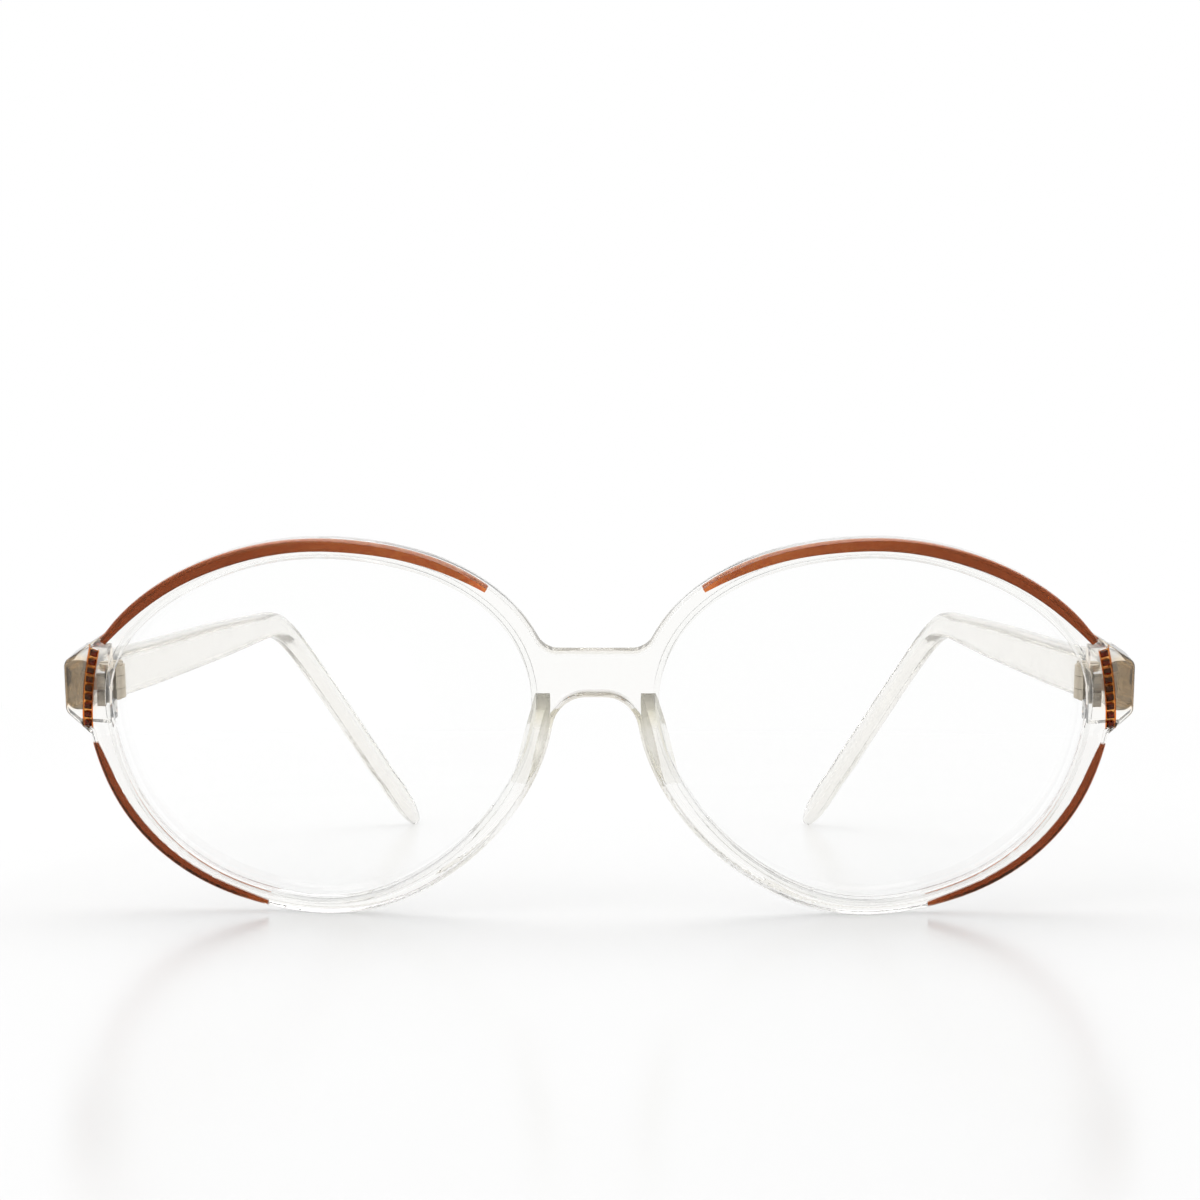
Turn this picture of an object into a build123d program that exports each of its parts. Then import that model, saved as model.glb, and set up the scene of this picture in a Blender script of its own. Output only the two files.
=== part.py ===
from build123d import *
import os
from math import copysign, cos, degrees, hypot, radians, sin, sqrt, tan

# Oval eyeglasses standing on the bottoms of their rims and the ends of their temples.
# Lengths are millimetres and angles are degrees. The front is drawn upright: x to the wearer's
# left, y backwards and z up, with the widest line of the lens openings at z = 0 and the foremost
# point of the front at y = 0. The finished pieces are then tipped forward and set down on z = 0.

# Lens openings: each quarter is a superellipse with its own power
lens_gap = 16.0
lens_reach_nose = 26.9
lens_reach_temple = 28.6
lens_rise = 18.5
lens_fall = 27.15
upper_nose_power = 2.26
upper_temple_power = 1.75
lower_nose_power = 1.68
lower_temple_power = 2.24
outline_points = 24

# Front: a barrel-shaped layer, with its own rim width on each side of an opening
face_radius = 220.0
crown_radius = 130.0
rim_depth = 3.4
rim_top = 2.4
rim_bottom = 1.95
rim_temple_side = 3.5
rim_nose_side = 2.8
rim_blend_power = 1.5
rim_front_round = 0.6
rim_back_round = 1.0
overrun = 30.0

# Bridge and nose arch
bridge_top = 7.4
bridge_height = 5.9
bridge_shoulder_round = 3.0
nose_arch_round = 4.4

# End pieces, thicker than the rims and cut flat behind for the temples
end_reach = 3.0
end_face_top = 3.3
end_face_bottom = -3.4
end_upper_slope = 35.0
end_lower_slope = 39.0
end_upper_blend = 3.0
end_notch_round = 0.4
end_inset = 1.0
end_corner_round = 1.3
end_back = 16.0
end_block_width = 6.2
end_block_top = 5.0
end_block_bottom = -5.0

# Lenses and the groove that holds them
lens_thickness = 2.0
lens_set_back = 1.0
lens_ridge = 0.7
lens_ridge_thickness = 0.9
lens_clearance = 0.05

# Nose pads: wedges along the rims' nose sides, highest a third of the way down
pad_upper_angle = 176.0
pad_lower_angle = 210.0
pad_points = 6
pad_width = 1.8
pad_margin = 0.3
pad_reach = 4.6
pad_splay = 1.1
pad_profile_shares = [(0.0, 0.0), (0.3, 0.5), (0.6, 1.0), (0.82, 0.75), (1.0, 0.0)]

# Brown trim bands, set in the outer front corner of the rims
trim_depth = 1.0
trim_points = 9
trim_end_share = 0.45
trim_taper_power = 0.3
trim_margin_power = 1.5
upper_trim_start = 18.0
upper_trim_end = 136.0
upper_trim_start_width = 1.7
upper_trim_end_width = 1.0
upper_trim_start_margin = 0.1
upper_trim_end_margin = 0.45
lower_trim_start = -12.0
lower_trim_end = -76.0
lower_trim_start_width = 1.6
lower_trim_end_width = 1.1
lower_trim_start_margin = 0.1
lower_trim_end_margin = 0.3

# Bead strips, bowed towards the temple, and their square beads
bead_count = 9
bead_pitch = 1.18
bead_width = 0.95
bead_length = 0.8
bead_stand = 0.25
bead_edge = 0.15
bead_gap = 0.01
strip_width = 1.45
strip_depth = 0.9
strip_wall = 0.15
strip_upper_offset = 1.5
strip_lower_offset = 0.15
strip_bow = 0.35
strip_centre_height = 0.1
strip_shares = (0.0, 0.5, 1.0)

# Hinges: two knuckles on the front, one between them on the temple
hinge_height = -0.5
knuckle_radius = 1.3
knuckle_bore = 0.7
outer_knuckle_height = 1.3
middle_knuckle_height = 1.7
knuckle_gap = 0.05
hinge_inset = 5.8
hinge_gap = 0.15
leaf_thickness = 1.2
leaf_plate = 1.1
tab_length = 2.0
tab_gap = 0.7
temple_leaf_length = 9.0
temple_leaf_height = 3.4
temple_leaf_thickness = 1.0
temple_leaf_sink = 0.6
pivot_clearance = 0.05
thread_clearance = 0.02
screw_head_radius = 1.05
screw_head_height = 0.45
screw_slot_width = 0.35
screw_slot_depth = 0.25
screw_tail = 0.3

# Temples: straight to the bend, then down and inwards behind the ear
temple_gap = 0.1
temple_thickness = 3.9
temple_height = 6.6
temple_straight = 92.0
temple_tip = 50.5
temple_drop = 7.7
temple_inward = 7.1
tip_drop = 56.5
tip_inward = 48.4
bend_radius = 14.0
temple_corner_share = 0.4
bend_thickness = 2.9
bend_height = 4.2

# Temple outlines: share of the way along, share of the butt's extra thickness, and of its extra height
temple_shares = [(0.05, 0.9, 1.05), (0.15, 0.7, 1.0), (0.3, 0.4, 0.85), (0.45, 0.15, 0.55), (0.57, 0.0, 0.15),
                 (0.64, 0.0, 0.0), (0.72, 0.0, 0.0), (0.85, 0.0, 0.0), (0.95, 0.0, 0.0), (0.985, -0.5, -0.35),
                 (1.0, -1.5, -1.0)]

# Tipping forward: a first angle, and how many times it is made better
first_lean = 13.0
lean_rounds = 4

# Where the opening and the end pieces lie
lens_centre = lens_gap / 2 + lens_reach_nose
temple_side = lens_centre + lens_reach_temple + rim_temple_side
end_x = temple_side + end_reach
hinge_x = end_x - hinge_inset
hinge_y = end_back + hinge_gap + knuckle_radius
hinge_span = 2 * outer_knuckle_height + middle_knuckle_height + 2 * knuckle_gap


def signed_power(value, power):
    """A power of the value's size, with the value's own sign."""
    return copysign(abs(value) ** power, value)


def quarter(angle):
    """Reaches and power of the opening's quarter that holds an angle, 0 at the temple side."""
    across, up = cos(radians(angle)), sin(radians(angle))
    reach = lens_reach_temple if across > 0 else lens_reach_nose
    if up > 0:
        return reach, lens_rise, upper_temple_power if across > 0 else upper_nose_power
    return reach, lens_fall, lower_temple_power if across > 0 else lower_nose_power


def opening_point(angle, growth=0.0, inset=0.0):
    """A point of the opening at an angle, moved outwards square to the curve."""
    across, up = cos(radians(angle)), sin(radians(angle))
    reach, rise, power = quarter(angle)
    x = reach * signed_power(across, 2 / power)
    z = rise * signed_power(up, 2 / power)
    slope_x = signed_power(x / reach, power - 1) / reach
    slope_z = signed_power(z / rise, power - 1) / rise
    normal_x = slope_x / hypot(slope_x, slope_z)
    normal_z = slope_z / hypot(slope_x, slope_z)
    if callable(growth):
        growth = growth(normal_x, normal_z)
    move = growth - inset
    return lens_centre + x + move * normal_x, 0, z + move * normal_z


def rim_width(normal_x, normal_z):
    """Width of the rim where its edge faces this way."""
    vertical = rim_top if normal_z > 0 else rim_bottom
    sideways = rim_temple_side if normal_x > 0 else rim_nose_side
    return vertical + (sideways - vertical) * abs(normal_x) ** rim_blend_power


def opening_face(growth=0.0):
    """The opening, or a curve that runs outside it, as a flat face."""
    angles = [360 * step / outline_points for step in range(outline_points)]
    points = [opening_point(angle, growth) for angle in angles]
    return make_face(Spline(points, periodic=True))


def prism(face):
    """The face drawn out backwards, from before the front to behind it."""
    return extrude(Pos(0, -overrun, 0) * face, amount=2 * overrun, dir=(0, 1, 0))


def face_solid(depth):
    """All that lies behind a barrel-shaped surface, this deep behind the front's face."""
    half_height = lens_rise + lens_fall
    centre_height = (lens_rise - lens_fall) / 2
    edge_y = crown_radius - sqrt((crown_radius - depth) ** 2 - half_height ** 2)
    low, high = centre_height - half_height, centre_height + half_height
    arc = ThreePointArc((0, edge_y, low), (0, depth, centre_height), (0, edge_y, high))
    back = Polyline((0, edge_y, high), (0, face_radius, high), (0, face_radius, low), (0, edge_y, low))
    axis = Axis((0, face_radius, 0), (0, 0, 1))
    return revolve(make_face([arc, back]), axis, 360).rotate(axis, 180)


def shell(near, far):
    """The layer of the front between two depths."""
    return face_solid(near) - face_solid(far)


def face_y(x, z, depth=0.0):
    """How far back a point of the front's face lies."""
    height = z - (lens_rise - lens_fall) / 2
    reach = face_radius - crown_radius + sqrt((crown_radius - depth) ** 2 - height ** 2)
    return face_radius - sqrt(reach ** 2 - x ** 2)


def mirrored(part):
    """The same piece for the wearer's right side."""
    return mirror(part, about=Plane.YZ)


def box_between(low, high):
    """A box given by its lowest and highest corners."""
    size = [b - a for a, b in zip(low, high)]
    middle = [(a + b) / 2 for a, b in zip(low, high)]
    return Pos(*middle) * Box(*size)


def drawn_edges(body, low_x, high_x, low_z, high_z):
    """Edges drawn straight back through the outline, inside a window of it."""
    drawn = [edge for edge in body.edges() if abs((edge @ 1 - edge @ 0).Y) > overrun]
    return [edge for edge in drawn if low_x < edge.center().X < high_x and low_z < edge.center().Z < high_z]


def end_face():
    """Outline of the wearer's left end piece, from inside the rim to the side."""
    inner_x = temple_side - rim_temple_side - end_inset
    run = end_x - inner_x
    upper = end_face_top + run * tan(radians(end_upper_slope))
    lower = end_face_bottom - run * tan(radians(end_lower_slope))
    corners = [(inner_x, 0, lower), (end_x, 0, end_face_bottom), (end_x, 0, end_face_top), (inner_x, 0, upper)]
    return make_face(Polyline(corners, close=True))


def end_prism():
    """The end piece's outline drawn out, with its two side corners rounded."""
    solid = prism(end_face())
    return fillet(drawn_edges(solid, temple_side, end_x + overrun, -overrun, overrun), end_corner_round)


def side_prism():
    """One rim with its end piece, drawn out and rounded where they meet."""
    side = prism(opening_face(rim_width)) + end_prism()
    above = drawn_edges(side, lens_centre, end_x - end_corner_round, end_face_top + end_corner_round, overrun)
    side = fillet(above, end_upper_blend)
    below = drawn_edges(side, lens_centre, end_x - end_corner_round, -overrun, end_face_bottom - end_corner_round)
    return fillet(below, end_notch_round)


def bridge_prism():
    """A block that joins the rims, from the nose arch to the bridge's top."""
    half = lens_gap / 2
    arch = bridge_top - bridge_height
    corners = [(-half, 0, bridge_top), (half, 0, bridge_top), (half, 0, arch), (-half, 0, arch)]
    return prism(make_face(Polyline(corners, close=True)))


def front_prism():
    """The whole front's outline drawn out, with the bridge's corners filled round."""
    side = side_prism()
    body = side + mirrored(side) + bridge_prism()
    middle = bridge_top - bridge_height / 2
    body = fillet(drawn_edges(body, -lens_gap, lens_gap, middle, overrun), bridge_shoulder_round)
    return fillet(drawn_edges(body, -lens_gap, lens_gap, -overrun, middle), nose_arch_round)


def front_blank():
    """The front before anything is cut into it: a rounded layer with a deeper block at each end."""
    blank = front_prism() & shell(0, rim_depth)
    for number, radius in ((0, rim_front_round), (1, rim_back_round)):
        front_and_back = blank.faces().sort_by(SortBy.AREA)[-2:]
        blank = fillet(front_and_back.sort_by(Axis.Y)[number].edges(), radius)
    room = box_between((end_x - end_block_width, 0, end_block_bottom), (end_x + overrun, end_back, end_block_top))
    block = end_prism() & face_solid(2 * rim_front_round) & room
    return blank + block + mirrored(block)


def lens():
    """The wearer's left lens, with the ridge round its edge that the groove holds."""
    body = prism(opening_face(-lens_clearance)) & shell(lens_set_back, lens_set_back + lens_thickness)
    ridge_near = lens_set_back + (lens_thickness - lens_ridge_thickness) / 2
    ridge = prism(opening_face(lens_ridge)) & shell(ridge_near, ridge_near + lens_ridge_thickness)
    return body + ridge


def lens_seat():
    """What is cut from the front for one lens: the opening and the groove round it."""
    groove_near = lens_set_back + (lens_thickness - lens_ridge_thickness) / 2 - lens_clearance
    groove_far = groove_near + lens_ridge_thickness + 2 * lens_clearance
    groove = prism(opening_face(lens_ridge + lens_clearance)) & shell(groove_near, groove_far)
    return prism(opening_face()), groove


def trim_prism(start, end, start_width, end_width, start_margin, end_margin):
    """A band along the rim's outer edge, narrower at both ends, drawn out backwards."""
    outer, inner = [], []
    for step in range(trim_points + 1):
        share = step / trim_points
        angle = start + (end - start) * share
        margin = start_margin + (end_margin - start_margin) * share ** trim_margin_power
        taper = trim_end_share + (1 - trim_end_share) * sin(radians(180 * share)) ** trim_taper_power
        width = (start_width + (end_width - start_width) * share) * taper
        outer.append(opening_point(angle, rim_width, margin))
        inner.append(opening_point(angle, rim_width, margin + width))
    edges = [Spline(outer), Spline(inner), Line(outer[0], inner[0]), Line(outer[-1], inner[-1])]
    return prism(make_face(edges))


def trim(blank, *band):
    """One brown band, with the front's own face and rounded edge."""
    return (trim_prism(*band) & blank) - face_solid(trim_depth)


def strip_line():
    """The bead strip's middle line, bowed towards the temple, from its upper end."""
    half = bead_count * bead_pitch / 2
    upper = (temple_side - strip_upper_offset, 0, strip_centre_height + half)
    lower = (temple_side - strip_lower_offset, 0, strip_centre_height - half)
    middle_x = (upper[0] + lower[0]) / 2 + strip_bow
    return ThreePointArc(upper, (middle_x, 0, strip_centre_height), lower)


def strip_face(width):
    """The strip's outline, this wide."""
    line, left, right = strip_line(), [], []
    for share in strip_shares:
        along = line % share
        across = Vector(-along.Z, 0, along.X) * (width / 2)
        left.append(line @ share + across)
        right.append(line @ share - across)
    sides = [ThreePointArc(*left), ThreePointArc(*right)]
    return make_face(sides + [Line(left[0], right[0]), Line(left[-1], right[-1])])


def bead_strip(blank):
    """The amber strip let into the end piece, and the beads' room in it."""
    strip = (prism(strip_face(strip_width)) & blank) - face_solid(strip_depth)
    room = prism(strip_face(strip_width - 2 * strip_wall)) - face_solid(strip_depth - strip_wall)
    return strip, room


def face_plane(point, along):
    """A plane that lies on the front's face at a point, its x direction along a line there."""
    y = face_y(point.X, point.Z)
    step = bead_length
    slope_x = (face_y(point.X + step, point.Z) - y) / step
    slope_z = (face_y(point.X, point.Z + step) - y) / step
    level = Vector(along.X, slope_x * along.X + slope_z * along.Z, along.Z)
    return Plane(origin=(point.X, y, point.Z), x_dir=level, z_dir=Vector(slope_x, -1, slope_z))


def beads():
    """The square beads of the wearer's left strip, seated on its floor and clear of its walls."""
    line = strip_line()
    tall = bead_stand + strip_depth
    bead = Pos(0, 0, bead_stand - tall / 2) * Box(bead_length, bead_width, tall)
    bead = chamfer(bead.faces().sort_by(Axis.Z)[-1].edges(), bead_edge)
    seat = prism(strip_face(strip_width - 2 * strip_wall - 2 * bead_gap)) - face_solid(strip_depth - strip_wall)
    shares = [(number + 1 / 2) / bead_count for number in range(bead_count)]
    return [((face_plane(line @ share, line % share) * bead) & seat).solid() for share in shares]


def front_hinge():
    """The leaf with two knuckles that is sunk into the end piece."""
    low = hinge_height - hinge_span / 2
    high = hinge_height + hinge_span / 2
    outer = hinge_x + knuckle_radius
    inner = outer - leaf_thickness
    leaf = box_between((inner, end_back - leaf_plate, low), (outer, end_back, high))
    for bottom in (low, high - outer_knuckle_height):
        top = bottom + outer_knuckle_height
        barrel = Pos(hinge_x, hinge_y, (bottom + top) / 2) * Cylinder(knuckle_radius, outer_knuckle_height)
        web = box_between((inner, end_back - leaf_plate / 2, bottom), (outer, hinge_y, top))
        leaf = leaf + barrel + web
    for bottom, top in ((low, hinge_height - tab_gap / 2), (hinge_height + tab_gap / 2, high)):
        leaf = leaf + box_between((inner, end_back - leaf_plate - tab_length, bottom), (outer, end_back, top))
    bore = Pos(hinge_x, hinge_y, hinge_height) * Cylinder(knuckle_bore + thread_clearance, 2 * hinge_span)
    return leaf - bore


def temple_hinge():
    """The leaf with one knuckle that is sunk into the temple's inner side."""
    half = middle_knuckle_height / 2
    barrel = Pos(hinge_x, hinge_y, hinge_height) * Cylinder(knuckle_radius, middle_knuckle_height)
    plate_inner = end_x - temple_thickness + temple_leaf_sink
    plate_outer = plate_inner + temple_leaf_thickness
    web = box_between((hinge_x, hinge_y - leaf_thickness / 2, hinge_height - half),
                      (plate_outer, hinge_y + leaf_thickness / 2, hinge_height + half))
    plate = box_between((plate_inner, hinge_y - leaf_thickness / 2, hinge_height - temple_leaf_height / 2),
                        (plate_outer, hinge_y + temple_leaf_length, hinge_height + temple_leaf_height / 2))
    bore = Pos(hinge_x, hinge_y, hinge_height) * Cylinder(knuckle_bore + pivot_clearance, hinge_span)
    return barrel + web + plate - bore


def hinge_screw():
    """The hinge's pin, with a slotted head on the upper knuckle."""
    low = hinge_height - hinge_span / 2 - screw_tail
    high = hinge_height + hinge_span / 2
    shank = Pos(hinge_x, hinge_y, (low + high) / 2) * Cylinder(knuckle_bore, high - low)
    head = Pos(hinge_x, hinge_y, high + screw_head_height / 2) * Cylinder(screw_head_radius, screw_head_height)
    slot_floor = high + screw_head_height - screw_slot_depth
    slot = Pos(hinge_x, hinge_y, slot_floor + screw_slot_depth)
    slot = slot * Box(4 * screw_head_radius, screw_slot_width, 2 * screw_slot_depth)
    return shank + head - slot


def temple_path():
    """The temple's middle line: straight from the end piece, a bend, then straight to its end."""
    start = Vector(end_x - temple_thickness / 2, end_back + temple_gap, hinge_height)
    along = Vector(0, temple_straight, 0).rotate(Axis.X, -temple_drop).rotate(Axis.Z, temple_inward)
    down = Vector(0, temple_tip, 0).rotate(Axis.X, -tip_drop).rotate(Axis.Z, tip_inward)
    return FilletPolyline(start, start + along, start + along + down, radius=bend_radius)


def temple_section(path, share, thickness, height):
    """The temple's rounded outline, square to its middle line."""
    along = path % share
    plane = Plane(origin=path @ share, x_dir=(1, 0, 0), z_dir=along)
    corner = temple_corner_share * min(thickness, height)
    return plane * RectangleRounded(thickness, height, corner)


def temple():
    """The wearer's left temple, drawn through its outlines from the butt to the ear end."""
    path = temple_path()
    butt = Plane(origin=path @ 0, x_dir=(1, 0, 0), z_dir=(0, 1, 0))
    corner = temple_corner_share * temple_thickness
    sections = [butt * RectangleRounded(temple_thickness, temple_height, corner)]
    for share, thickness_share, height_share in temple_shares:
        thickness = bend_thickness + (temple_thickness - bend_thickness) * thickness_share
        height = bend_height + (temple_height - bend_height) * height_share
        sections.append(temple_section(path, share, thickness, height))
    return loft(sections)


def nose_pad(blank):
    """The wearer's left nose pad: a wedge behind the rim, splayed away from the nose."""
    step = (pad_lower_angle - pad_upper_angle) / pad_points
    angles = [pad_upper_angle + step * number for number in range(pad_points + 1)]
    outer = [opening_point(angle, rim_width, pad_margin) for angle in angles]
    inner = [opening_point(angle, rim_width, pad_margin + pad_width) for angle in angles]
    foot = make_face([Spline(outer), Spline(inner), Line(outer[0], inner[0]), Line(outer[-1], inner[-1])])
    upper, lower = outer[0], outer[-1]
    seat_y = face_y(upper[0], upper[2], rim_depth - rim_back_round)
    wedge = extrude(Pos(0, seat_y, 0) * foot, amount=2 * pad_reach, dir=(pad_splay, pad_reach, 0))
    side = Spline([(0, seat_y + pad_reach * high, lower[2] + (upper[2] - lower[2]) * up)
                   for up, high in pad_profile_shares])
    profile = extrude(make_face([side, Line(side @ 0, side @ 1)]), amount=2 * lens_centre, dir=(1, 0, 0))
    return (wedge & profile) - blank


def front_pieces():
    """Every piece that stays with the front, wearer's left ones first."""
    blank = front_blank()
    upper = trim(blank, upper_trim_start, upper_trim_end, upper_trim_start_width, upper_trim_end_width,
                 upper_trim_start_margin, upper_trim_end_margin)
    lower = trim(blank, lower_trim_start, lower_trim_end, lower_trim_start_width, lower_trim_end_width,
                 lower_trim_start_margin, lower_trim_end_margin)
    strip, room = bead_strip(blank)
    hinge = front_hinge()
    opening, groove = lens_seat()
    cuts = [opening, groove, upper, lower, strip, hinge]
    front = blank - cuts - [mirrored(cut) for cut in cuts]
    sides = {
        "lens": lens(),
        "upper_trim": upper,
        "lower_trim": lower,
        "bead_strip": strip - room,
        "beads": Compound(beads()),
        "nose_pad": nose_pad(blank),
        "front_hinge": hinge,
        "hinge_screw": hinge_screw(),
    }
    return front, sides


def temple_pieces():
    """The pieces that turn with the wearer's left temple."""
    hinge = temple_hinge()
    return {"temple": temple() - hinge, "temple_hinge": hinge}


def lowest(part, lean):
    """Height of the part's lowest point once tipped forward."""
    return part.rotate(Axis.X, lean).bounding_box().min.Z


def resting_lean(front, arm):
    """How far the front tips forward when the rims and the ends of the temples both touch down."""
    lean, step = 0.0, first_lean
    for _ in range(lean_rounds):
        lean += step
        drop = lowest(arm, lean) - lowest(front, lean)
        reach = arm.rotate(Axis.X, lean).bounding_box().max.Y
        step = -degrees(drop / reach)
    return lean + step


def main():
    """Build every piece, tip them all forward, set them down and write them."""
    front, sides = front_pieces()
    turning = temple_pieces()
    pieces = {"front_frame": front}
    for name, piece in {**sides, **turning}.items():
        pieces["left_" + name] = piece
        pieces["right_" + name] = mirrored(piece)
    lean = resting_lean(front, turning["temple"])
    tipped = {name: piece.rotate(Axis.X, lean) for name, piece in pieces.items()}
    boxes = [piece.bounding_box() for piece in tipped.values()]
    low_y = min(box.min.Y for box in boxes)
    high_y = max(box.max.Y for box in boxes)
    low_z = min(box.min.Z for box in boxes)
    place = Pos(0, -(low_y + high_y) / 2, -low_z)
    os.makedirs("parts", exist_ok=True)
    for name, piece in tipped.items():
        export_step(place * piece, os.path.join("parts", name + ".step"))
    hinge = place * Pos(*Vector(hinge_x, hinge_y, hinge_height).rotate(Axis.X, lean))
    print("lean", lean, "hinge", hinge.position)


if __name__ == "__main__":
    main()
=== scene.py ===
import math

import bpy
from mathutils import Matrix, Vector


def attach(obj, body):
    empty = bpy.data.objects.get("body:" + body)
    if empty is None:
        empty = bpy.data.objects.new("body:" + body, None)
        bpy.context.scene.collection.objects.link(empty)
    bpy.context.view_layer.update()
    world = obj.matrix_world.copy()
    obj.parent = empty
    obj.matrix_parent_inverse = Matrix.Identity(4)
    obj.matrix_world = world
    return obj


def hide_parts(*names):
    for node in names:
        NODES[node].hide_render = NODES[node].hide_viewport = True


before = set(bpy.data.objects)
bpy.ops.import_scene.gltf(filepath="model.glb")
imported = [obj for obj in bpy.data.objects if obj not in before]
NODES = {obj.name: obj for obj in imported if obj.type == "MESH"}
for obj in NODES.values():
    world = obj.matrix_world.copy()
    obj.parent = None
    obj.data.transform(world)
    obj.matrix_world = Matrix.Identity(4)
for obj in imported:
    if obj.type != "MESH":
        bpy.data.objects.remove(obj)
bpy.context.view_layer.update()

bl_info = {
    "name": "Oval eyeglasses",
    "version": (1, 0, 0),
    "blender": (4, 5, 0),
    "location": "3D View > Sidebar > Eyeglasses",
    "description": "Finishes the eyeglasses' pieces and sets them on a pale table",
    "category": "Object",
}

SIDES = ("left", "right")

# Lengths are in metres, and losses of light are exponents for each millimetre of plastic.
BOND = 0.00001  # how far a cemented piece stands into its neighbour
MERGE_WITHIN = 0.000002
SMOOTH_BELOW = math.radians(25)
HINGE_HEIGHT = 0.0305
PLASTIC_IOR = 1.49
LENS_IOR = 1.5
TINTED_GLOSS = 0.08

# The nose arch's colour is painted shade; the pad's and the temple's are haze, and the temple's is
# also painted light on its top.
NOSE_ARCH_SHADE = (0.78, 0.72, 0.6)
HAZY_PAD = (1.0, 0.93, 0.66)
HAZY_TEMPLE = (0.98, 0.975, 0.955)
BROWN_TINTS = ((1.0, 0.9, 0.75), (0.88, 0.7, 0.5))
BROWN_GLOSS_TINT = (0.8, 0.5, 0.3, 1)
# Opaque amber painted as the glow of light through the bands' thin ends and edges.
PAINTED_BAND_GLOW = ((0.98, 0.28, 0.05), (0.78, 0.15, 0.03))
AMBER_TINTS = ((0.98, 0.6, 0.28), (0.92, 0.48, 0.18))

# Where a colour or haze starts and where it is full: places in metres, and facings from -1 to 1.
END_SIDES = (0.0645, 0.068)  # from the middle
LEVEL_WITH_HINGES = (0.0038, 0.003)  # from the hinges' height
NOSE_ARCH = (0.0105, 0.0085)  # from the middle
BAND_NOSE_ENDS = (0.0185, 0.0145)  # from the middle
BAND_NOSE_HALVES = (0.045, 0.022)  # from the middle
BAND_LOWER_ENDS = (0.0025, 0.0006)  # above the table
WHITE_TABLE = (0.15, 0.6)  # from the middle
FACES_UP = (0.2, 0.6)
FACES_DOWN = (-0.2, -0.6)
FACES_NOSE = (0.3, 0.6)
# Upward faces where the temples get extra haze as painted light.
UPWARD_PAINTED_LIGHT = (0.3, 0.9)
BAND_SIDES = (0.15, 0.7)  # from facing the front or the back

TABLE_RADIUS = 12
RIMS_CONTACT = -0.0551  # where the rims stand, along Y
SENSOR_WIDTH = 36  # millimetres
FRAME_SHIFT = (3 / 1200, 4.6 / 1200)
SEEING_RAYS = ("Is Camera Ray", "Is Glossy Ray", "Is Transmission Ray")


class Signal:
    """One value in a shader, used in sums like a number."""

    def __init__(self, shader, socket):
        self.shader = shader
        self.socket = socket

    def maths(self, operation, *values):
        return self.shader.maths(operation, *values)

    def __add__(self, other):
        return self.maths("ADD", self, other)

    __radd__ = __add__

    def __sub__(self, other):
        return self.maths("SUBTRACT", self, other)

    def __rsub__(self, other):
        return self.maths("SUBTRACT", other, self)

    def __mul__(self, other):
        return self.maths("MULTIPLY", self, other)

    __rmul__ = __mul__

    def __pow__(self, other):
        return self.maths("POWER", self, other)

    def __abs__(self):
        return self.maths("ABSOLUTE", self)

    def larger(self, other):
        return self.maths("MAXIMUM", self, other)

    def ramp(self, zero, one):
        """0 up to the first value, 1 from the second on, and even between them."""
        values = {0: self, 1: zero, 2: one}
        return self.shader.node("ShaderNodeMapRange", {"clamp": True}, values)


class Shader:
    """A material's or a world's nodes, added one by one."""

    def __init__(self, tree):
        self.tree = tree
        tree.nodes.clear()

    def node(self, kind, settings=None, values=None, output=0):
        """Add a node: its settings first, then the values or links of its sockets."""
        node = self.tree.nodes.new(kind)
        for name, value in (settings or {}).items():
            setattr(node, name, value)
        for name, value in (values or {}).items():
            if isinstance(value, Signal):
                self.tree.links.new(value.socket, node.inputs[name])
            else:
                node.inputs[name].default_value = value
        return Signal(self, node.outputs[output])

    def maths(self, operation, *values):
        return self.node("ShaderNodeMath", {"operation": operation}, dict(enumerate(values)))

    def mix(self, share, first, second):
        """A colour between two others."""
        values = {0: share, 6: (*first, 1), 7: (*second, 1)}
        return self.node("ShaderNodeMix", {"data_type": "RGBA"}, values, 2)

    def split(self, vector):
        """The three numbers of a vector."""
        parts = self.tree.nodes.new("ShaderNodeSeparateXYZ")
        self.tree.links.new(vector.socket, parts.inputs[0])
        return [Signal(self, output) for output in parts.outputs]

    def place(self):
        """Object coordinates, in metres."""
        return self.node("ShaderNodeTexCoord", output="Object")

    def axes(self):
        """Object coordinates as three numbers."""
        return self.split(self.place())

    def facing(self):
        """Which way the surface faces, as three numbers, the same from outside and from within."""
        outwards = 1 - 2 * self.node("ShaderNodeNewGeometry", output="Backfacing")
        normal = self.node("ShaderNodeNewGeometry", output="Normal")
        return [part * outwards for part in self.split(normal)]

    def ray(self, kind):
        """1 for a ray of this kind, and 0 for others."""
        return self.node("ShaderNodeLightPath", output=kind)

    def noise(self, size, detail=2.0, stretch=(1, 1, 1)):
        """A cloudy pattern from 0 to 1 whose patches are this large."""
        place = self.node("ShaderNodeMapping", None, {"Vector": self.place(), "Scale": stretch})
        values = {"Vector": place, "Scale": 1 / size, "Detail": detail}
        return self.node("ShaderNodeTexNoise", None, values)

    def bump(self, height, depth):
        """A surface's normal, raised by a pattern that is this deep."""
        return self.node("ShaderNodeBump", None, {"Height": height, "Distance": depth})

    def surface(self, values):
        return self.node("ShaderNodeBsdfPrincipled", None, values)

    def blend(self, share, first, second):
        """A surface between two others."""
        return self.node("ShaderNodeMixShader", None, {0: share, 1: first, 2: second})

    def soak(self, losses):
        """A volume that takes this much red, green and blue from light, for each millimetre."""
        density = 10000 * max(losses)
        colour = [1 - 1000 * loss / density for loss in losses]
        values = {"Color": (*colour, 1), "Density": density}
        return self.node("ShaderNodeVolumeAbsorption", None, values)

    def finish(self, kind, **ends):
        """Send a surface, and a volume where there is one, to an output of this kind."""
        output = self.tree.nodes.new(kind)
        for name, signal in ends.items():
            self.tree.links.new(signal.socket, output.inputs[name])


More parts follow.
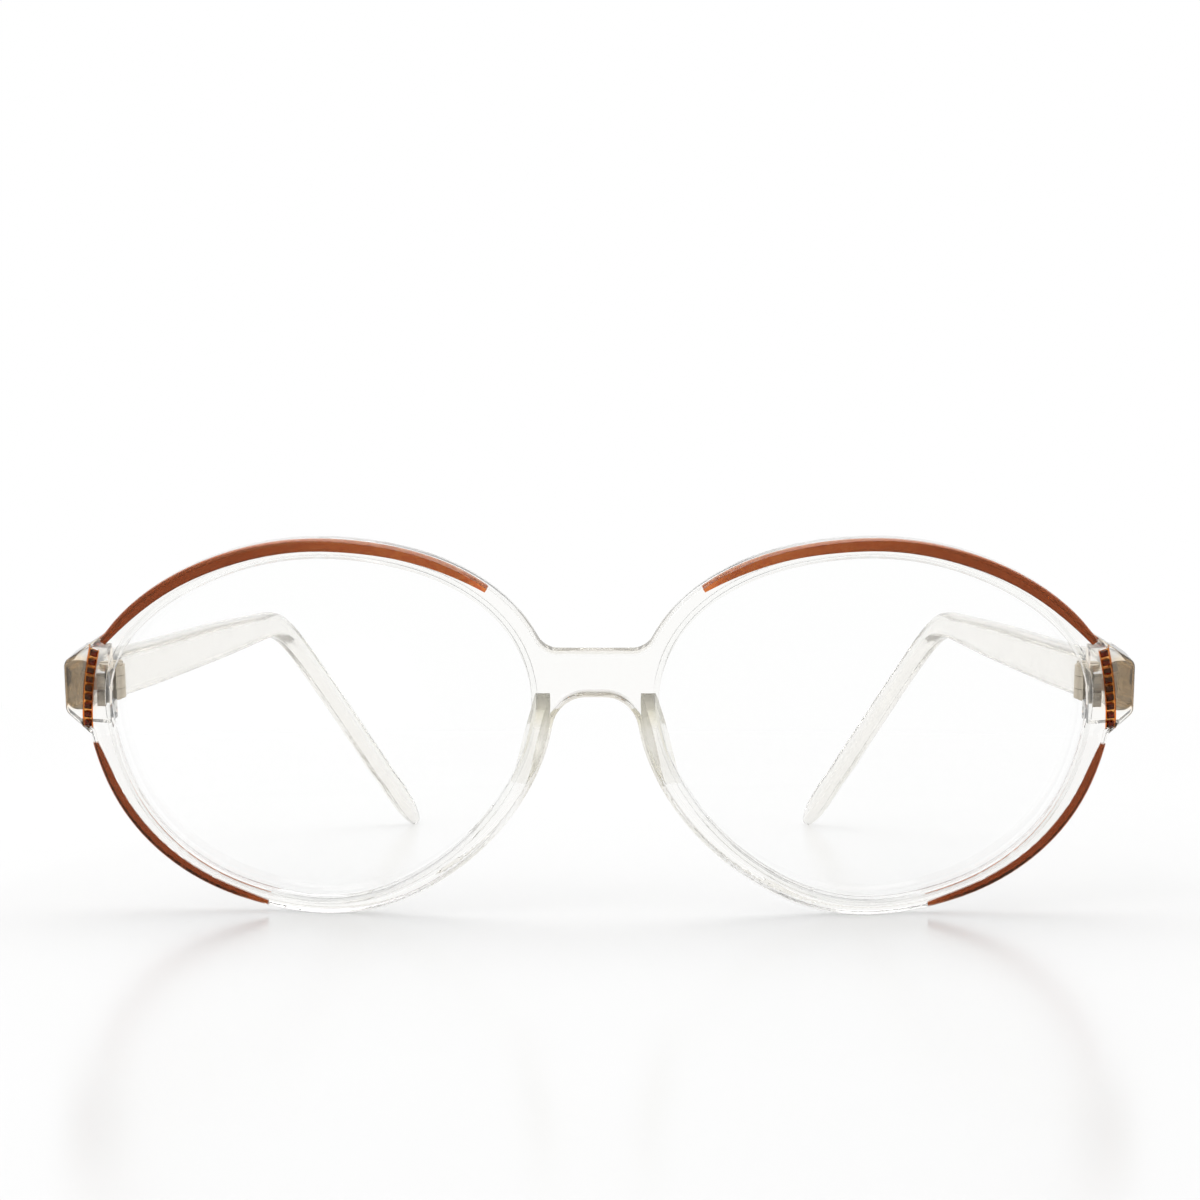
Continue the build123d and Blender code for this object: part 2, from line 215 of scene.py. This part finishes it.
def new_material(name):
    material = bpy.data.materials.new(name)
    material.use_nodes = True
    return material, Shader(material.node_tree)


def dress(names, material):
    """Give CAD nodes a material."""
    for name in names:
        slots = NODES[name].data.materials
        slots.clear()
        slots.append(material)


def select_only(piece):
    bpy.ops.object.select_all(action="DESELECT")
    piece.select_set(True)
    bpy.context.view_layer.objects.active = piece


def bonded_copy(name, material):
    """A merged copy that stands for a CAD node, larger all round by the bond, so no air shows."""
    piece = bpy.data.objects.new(name + "_bonded", NODES[name].data.copy())
    bpy.context.scene.collection.objects.link(piece)
    piece.data.materials.clear()
    piece.data.materials.append(material)
    select_only(piece)
    bpy.ops.mesh.customdata_custom_splitnormals_clear()
    bpy.ops.object.mode_set(mode="EDIT")
    bpy.ops.mesh.select_all(action="SELECT")
    bpy.ops.mesh.remove_doubles(threshold=MERGE_WITHIN)
    bpy.ops.mesh.normals_make_consistent(inside=False)
    bpy.ops.object.mode_set(mode="OBJECT")
    bpy.ops.object.shade_smooth_by_angle(angle=SMOOTH_BELOW)
    growth = piece.modifiers.new("bond", "DISPLACE")
    growth.strength = BOND
    growth.mid_level = 0
    bpy.ops.object.modifier_apply(modifier=growth.name)
    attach(piece, "front")
    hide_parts(name)


def both(kind):
    return [side + "_" + kind for side in SIDES]


def clear_plastic(name, settings, losses, gloss, ripple, haze, hazy, through=0.0, warmth=None):
    """Clear plastic: polished, faintly rippled, warm where light runs far, and hazy in places; on
    the bridge the hazy mix is painted shade, and on the temples' tops it is painted light.
    """
    material, shader = new_material(name)
    wear = shader.noise(size=0.0012, detail=4.0)
    swell = shader.noise(size=0.006, detail=1.0)
    normal = shader.bump(swell, ripple)
    tint = (*settings.tint, 1)
    if warmth:
        tint = shader.mix(warmth(shader), settings.tint, settings.end_tint)
    polished = shader.surface({
        "Base Color": tint,
        "Roughness": wear.ramp(0.45, 0.8) * gloss + gloss / 2,
        "IOR": PLASTIC_IOR,
        "Transmission Weight": 1.0,
        "Normal": normal,
    })
    cloudy = shader.surface({
        "Base Color": shader.mix(swell, hazy, [0.96 * part for part in hazy]),
        "Roughness": 0.3 + 0.2 * through,
        "IOR": PLASTIC_IOR,
        "Transmission Weight": through,
        "Normal": normal,
    })
    # The hazy share is real haze on the pads and temples, painted shade on the bridge, and painted
    # light on the temples' tops.
    share = haze(shader) * (wear.ramp(0.2, 0.8) * 0.2 + 0.9)
    surface = shader.blend(share, polished, cloudy)
    shader.finish("ShaderNodeOutputMaterial", Surface=surface, Volume=shader.soak(losses))
    return material


def end_warmth(shader):
    """How warm the front is: most at the end pieces' outer sides, level with the hinges."""
    across, _, up = shader.axes()
    return abs(across).ramp(*END_SIDES) * abs(up - HINGE_HEIGHT).ramp(*LEVEL_WITH_HINGES)


def bridge_painted_shade(shader):
    """Painted shade on the front: a darker beige haze on faces that look down under the nose arch,
    and a little along the bridge's top.
    """
    near = abs(shader.axes()[0]).ramp(*NOSE_ARCH)
    up = shader.facing()[2]
    # Painted shade on the faces under the arch.
    arch = up.ramp(*FACES_DOWN) * 0.55
    # Painted shading along the bridge's rounded top.
    top = up.ramp(*FACES_UP) * 0.3
    return near * arch.larger(top)


def pad_haze(shader):
    """How hazy a pad is: most on the flank that faces the nose and on its upper end."""
    side = shader.maths("SIGN", shader.axes()[0])
    across, _, up = shader.facing()
    nose_flank = (across * side * -1).ramp(*FACES_NOSE)
    return nose_flank.larger(up.ramp(*FACES_UP)) * 0.8 + 0.05


def temple_haze(shader, share):
    """How hazy a temple is: evenly a little, and more on the upward faces, which is painted light
    that makes the top look lighter.
    """
    # Extra haze on the upward faces paints the top lighter, where the light falls.
    top_painted_light = shader.facing()[2].ramp(*UPWARD_PAINTED_LIGHT) * 0.45
    return (shader.noise(size=0.02) * 0.2 + 0.9) * (top_painted_light + share)


def tinted_plastic(name, losses, blotch, tints=BROWN_TINTS, amber=None):
    """Brown or amber plastic, clouded in blotches, that light runs through."""
    material, shader = new_material(name)
    cloud = shader.noise(size=blotch, detail=3.0)
    patches = cloud.ramp(0.35, 0.65)
    gloss = cloud.ramp(0.3, 0.7) * TINTED_GLOSS + TINTED_GLOSS / 2
    surface = shader.surface({
        "Base Color": shader.mix(patches, *tints),
        "Roughness": gloss,
        "IOR": PLASTIC_IOR,
        "Specular Tint": BROWN_GLOSS_TINT,
        "Transmission Weight": 1.0,
    })
    # An opaque amber surface is mixed in as painted glow where the mask says.
    if amber:
        light = shader.surface({
            "Base Color": shader.mix(patches, *PAINTED_BAND_GLOW),
            "Roughness": gloss,
        })
        surface = shader.blend(amber(shader), surface, light)
    shader.finish("ShaderNodeOutputMaterial", Surface=surface, Volume=shader.soak(losses))
    return material


def band_painted_glow(shader):
    """Where a band turns to opaque amber: most at its ends, some in its nose half, a little along
    its edges; at the ends and edges this is painted glow of light shining through thin plastic.
    """
    across, _, up = shader.axes()
    from_nose = abs(across)
    # Painted glow along the band's side walls.
    edge = (1 - abs(shader.facing()[1])).ramp(*BAND_SIDES) * 0.55
    nose_end = from_nose.ramp(*BAND_NOSE_ENDS) * 0.7
    nose_half = from_nose.ramp(*BAND_NOSE_HALVES) * 0.3
    lower_end = up.ramp(*BAND_LOWER_ENDS) * 0.5
    return edge.larger(nose_end.larger(nose_half)).larger(lower_end)


class ClearSettings(bpy.types.PropertyGroup):
    tint: bpy.props.FloatVectorProperty(
        name="Tint", description="Colour that each pass through clear plastic leaves",
        subtype="COLOR", default=(0.99, 0.99, 0.985), min=0, max=1)
    end_tint: bpy.props.FloatVectorProperty(
        name="Tint at the ends", description="The same, at the outer sides of the end pieces",
        subtype="COLOR", default=(1.0, 0.86, 0.68), min=0, max=1)
    front_loss: bpy.props.FloatVectorProperty(
        name="Loss in the front", description="Red, green and blue that a millimetre takes",
        default=(0.004, 0.0055, 0.009), min=0)
    temple_loss: bpy.props.FloatVectorProperty(
        name="Loss in the temples", description="Red, green and blue that a millimetre takes",
        default=(0.002, 0.006, 0.014), min=0)
    temple_haze: bpy.props.FloatProperty(
        name="Haze of the temples", description="Share of light that their surface scatters",
        default=0.12, min=0, max=1, subtype="FACTOR")


class TrimSettings(bpy.types.PropertyGroup):
    band_loss: bpy.props.FloatVectorProperty(
        name="Loss in the bands", description="Red, green and blue that a millimetre takes",
        default=(1.35, 2.75, 3.7), min=0)
    strip_loss: bpy.props.FloatVectorProperty(
        name="Loss in the strips", description="Red, green and blue that a millimetre takes",
        default=(0.25, 1.1, 2.8), min=0)
    bead_loss: bpy.props.FloatVectorProperty(
        name="Loss in the beads", description="Red, green and blue that a millimetre takes",
        default=(1.9, 5.0, 6.6), min=0)


class HingeSettings(bpy.types.PropertyGroup):
    dark: bpy.props.FloatVectorProperty(
        name="Darker metal", description="Colour in the brush marks", subtype="COLOR",
        default=(0.49, 0.43, 0.34), min=0, max=1)
    light: bpy.props.FloatVectorProperty(
        name="Lighter metal", description="Colour between the brush marks", subtype="COLOR",
        default=(0.67, 0.59, 0.47), min=0, max=1)


class StageSettings(bpy.types.PropertyGroup):
    distance: bpy.props.FloatProperty(
        name="Camera distance", description="From the camera to the rims' lowest points",
        unit="LENGTH", default=0.300)
    height: bpy.props.FloatProperty(
        name="Camera height", description="Of the camera above the table", unit="LENGTH",
        default=0.0405)
    turn: bpy.props.FloatProperty(
        name="Camera turn", description="Round the eyeglasses, towards the wearer's left",
        unit="ROTATION", default=math.radians(1.2))
    focal_length: bpy.props.FloatProperty(
        name="Focal length", description="Of the lens, on a 36 mm sensor", unit="CAMERA",
        default=68.76)
    ambient: bpy.props.FloatProperty(
        name="Room light", description="Strength of the even light from all around",
        default=0.75)
    ceiling: bpy.props.FloatProperty(
        name="Ceiling", description="How bright the ceiling looks in plastic and metal",
        default=0.92)
    top_power: bpy.props.FloatProperty(
        name="Top softbox", description="Power of the lamp above the table", unit="POWER",
        default=1.6)
    front_power: bpy.props.FloatProperty(
        name="Front fill", description="Power of the lamp in front, to one side", unit="POWER",
        default=1.4)


class EYEGLASSES_OT_front(bpy.types.Operator):
    """Finish the clear plastic front and its nose pads"""
    bl_idname = "eyeglasses.front"
    bl_label = "Front"

    def execute(self, context):
        settings = context.scene.eyeglasses_clear
        front = clear_plastic(
            "clear front plastic", settings, settings.front_loss, gloss=0.02, ripple=0.000005,
            haze=bridge_painted_shade, hazy=NOSE_ARCH_SHADE, warmth=end_warmth)
        dress(["front_frame"], front)
        pads = clear_plastic(
            "clear pad plastic", settings, settings.front_loss, gloss=0.08, ripple=0.00001,
            haze=pad_haze, hazy=HAZY_PAD, through=1.0)
        for name in both("nose_pad"):
            bonded_copy(name, pads)
        return {"FINISHED"}


class EYEGLASSES_OT_lenses(bpy.types.Operator):
    """Finish the two lenses"""
    bl_idname = "eyeglasses.lenses"
    bl_label = "Lenses"

    def execute(self, context):
        material, shader = new_material("polished lens")
        smears = shader.noise(size=0.012, detail=3.0)
        surface = shader.surface({
            "Base Color": (0.995, 0.997, 0.995, 1),
            "Roughness": smears.ramp(0.5, 0.9) * 0.02,
            "IOR": LENS_IOR,
            "Transmission Weight": 1.0,
        })
        shader.finish("ShaderNodeOutputMaterial", Surface=surface)
        dress(both("lens"), material)
        return {"FINISHED"}


class EYEGLASSES_OT_trims(bpy.types.Operator):
    """Finish the brown bands set in the rims"""
    bl_idname = "eyeglasses.trims"
    bl_label = "Bands"

    def execute(self, context):
        losses = context.scene.eyeglasses_trim.band_loss
        material = tinted_plastic("brown band", losses, blotch=0.0006, amber=band_painted_glow)
        for name in both("upper_trim") + both("lower_trim"):
            bonded_copy(name, material)
        return {"FINISHED"}


class EYEGLASSES_OT_beads(bpy.types.Operator):
    """Finish the amber strips and their dark beads"""
    bl_idname = "eyeglasses.beads"
    bl_label = "Bead strips"

    def execute(self, context):
        settings = context.scene.eyeglasses_trim
        strip = tinted_plastic(
            "amber strip", settings.strip_loss, blotch=0.0005, tints=AMBER_TINTS)
        for name in both("bead_strip"):
            bonded_copy(name, strip)
        bead = tinted_plastic("dark bead", settings.bead_loss, blotch=0.0005)
        dress(both("beads"), bead)
        return {"FINISHED"}


class EYEGLASSES_OT_hinges(bpy.types.Operator):
    """Finish the hinge leaves and their screws"""
    bl_idname = "eyeglasses.hinges"
    bl_label = "Hinges"

    def execute(self, context):
        settings = context.scene.eyeglasses_hinge
        material, shader = new_material("nickel silver")
        brushed = shader.noise(size=0.0003, detail=4.0, stretch=(1, 0.1, 1))
        surface = shader.surface({
            "Base Color": shader.mix(brushed, settings.dark, settings.light),
            "Metallic": 1.0,
            "Roughness": brushed * 0.2 + 0.25,
            "Normal": shader.bump(brushed, depth=0.00001),
        })
        shader.finish("ShaderNodeOutputMaterial", Surface=surface)
        dress(both("front_hinge") + both("temple_hinge") + both("hinge_screw"), material)
        return {"FINISHED"}


class EYEGLASSES_OT_temples(bpy.types.Operator):
    """Finish the two temples"""
    bl_idname = "eyeglasses.temples"
    bl_label = "Temples"

    def execute(self, context):
        settings = context.scene.eyeglasses_clear
        material = clear_plastic(
            "clear temple plastic", settings, settings.temple_loss, gloss=0.12, ripple=0.00001,
            haze=lambda shader: temple_haze(shader, settings.temple_haze), hazy=HAZY_TEMPLE)
        dress(both("temple"), material)
        return {"FINISHED"}


class EYEGLASSES_OT_stage(bpy.types.Operator):
    """Set the table, the light and the camera"""
    bl_idname = "eyeglasses.stage"
    bl_label = "Table, light and camera"

    def execute(self, context):
        settings = context.scene.eyeglasses_stage
        self.table()
        self.world(context, settings)
        self.lamp("top softbox", settings.top_power, size=0.8, place=(0.0, 0.15, 0.7))
        self.lamp("front fill", settings.front_power, size=0.6, place=(-0.5, -0.7, 0.5))
        self.camera(context, settings)
        context.scene.view_settings.view_transform = "Standard"
        return {"FINISHED"}

    def table(self):
        """A polished white table that turns to even white away from the eyeglasses."""
        bpy.ops.mesh.primitive_circle_add(vertices=64, radius=TABLE_RADIUS, fill_type="TRIFAN")
        table = bpy.context.object
        table.name = "table"
        material, shader = new_material("polished white table")
        polished = shader.surface({
            "Base Color": (0.96, 0.96, 0.96, 1),
            "Roughness": 0.18,
            "IOR": 1.38,
        })
        white = shader.node("ShaderNodeEmission", None, {"Color": (1, 1, 1, 1), "Strength": 1.0})
        across, along, _ = shader.axes()
        distance = (across * across + along * along) ** 0.5
        seen = sum(shader.ray(kind) for kind in SEEING_RAYS)
        surface = shader.blend(distance.ramp(*WHITE_TABLE) * seen, polished, white)
        shader.finish("ShaderNodeOutputMaterial", Surface=surface)
        table.data.materials.append(material)

    def world(self, context, settings):
        """White where it is seen, a little darker overhead in reflections, and an even light."""
        world = bpy.data.worlds.new("room")
        world.use_nodes = True
        context.scene.world = world
        shader = Shader(world.node_tree)
        up = shader.split(shader.node("ShaderNodeTexCoord", output="Generated"))[2]
        seen = shader.ray("Is Camera Ray")
        bounced = (shader.ray("Is Glossy Ray") + shader.ray("Is Transmission Ray")).ramp(0, 1)
        reflected = 1 - up.ramp(0.45, 0.8) * (1 - settings.ceiling)
        strength = seen + (1 - seen) * (bounced * reflected + (1 - bounced) * settings.ambient)
        values = {"Color": (1, 1, 1, 1), "Strength": strength}
        background = shader.node("ShaderNodeBackground", None, values)
        shader.finish("ShaderNodeOutputWorld", Surface=background)

    def lamp(self, name, power, size, place):
        """A soft square lamp that points at the eyeglasses."""
        light = bpy.data.lights.new(name, "AREA")
        light.size = size
        light.energy = power
        lamp = bpy.data.objects.new(name, light)
        bpy.context.scene.collection.objects.link(lamp)
        lamp.location = place
        lamp.rotation_euler = (-Vector(place)).to_track_quat("-Z", "Y").to_euler()

    def camera(self, context, settings):
        """The photograph's camera: level, low, and turned a little about the eyeglasses."""
        data = bpy.data.cameras.new("camera")
        data.lens = settings.focal_length
        data.sensor_width = SENSOR_WIDTH
        data.clip_start = 0.01
        data.clip_end = 50
        data.shift_x, data.shift_y = FRAME_SHIFT
        camera = bpy.data.objects.new("camera", data)
        context.scene.collection.objects.link(camera)
        aside = settings.distance * math.sin(settings.turn)
        back = settings.distance * math.cos(settings.turn)
        camera.location = (aside, RIMS_CONTACT - back, settings.height)
        camera.rotation_euler = (math.radians(90), 0, settings.turn)
        context.scene.camera = camera


GROUPS = {
    "eyeglasses_clear": ClearSettings,
    "eyeglasses_trim": TrimSettings,
    "eyeglasses_hinge": HingeSettings,
    "eyeglasses_stage": StageSettings,
}
OPERATORS = (
    EYEGLASSES_OT_front,
    EYEGLASSES_OT_lenses,
    EYEGLASSES_OT_trims,
    EYEGLASSES_OT_beads,
    EYEGLASSES_OT_hinges,
    EYEGLASSES_OT_temples,
    EYEGLASSES_OT_stage,
)


class EYEGLASSES_PT_panel(bpy.types.Panel):
    """Lists the eyeglasses' pieces and their settings"""
    bl_label = "Eyeglasses"
    bl_space_type = "VIEW_3D"
    bl_region_type = "UI"
    bl_category = "Eyeglasses"

    def draw(self, context):
        for name, group in GROUPS.items():
            for setting in group.__annotations__:
                self.layout.prop(getattr(context.scene, name), setting)
        for operator in OPERATORS:
            self.layout.operator(operator.bl_idname)


CLASSES = (*GROUPS.values(), *OPERATORS, EYEGLASSES_PT_panel)


def register():
    for cls in CLASSES:
        bpy.utils.register_class(cls)
    for name, group in GROUPS.items():
        setattr(bpy.types.Scene, name, bpy.props.PointerProperty(type=group))


def unregister():
    for name in GROUPS:
        delattr(bpy.types.Scene, name)
    for cls in reversed(CLASSES):
        bpy.utils.unregister_class(cls)


def main():
    """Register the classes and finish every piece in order."""
    register()
    for operator in OPERATORS:
        group, name = operator.bl_idname.split(".")
        getattr(getattr(bpy.ops, group), name)()


if __name__ == "__main__":
    main()
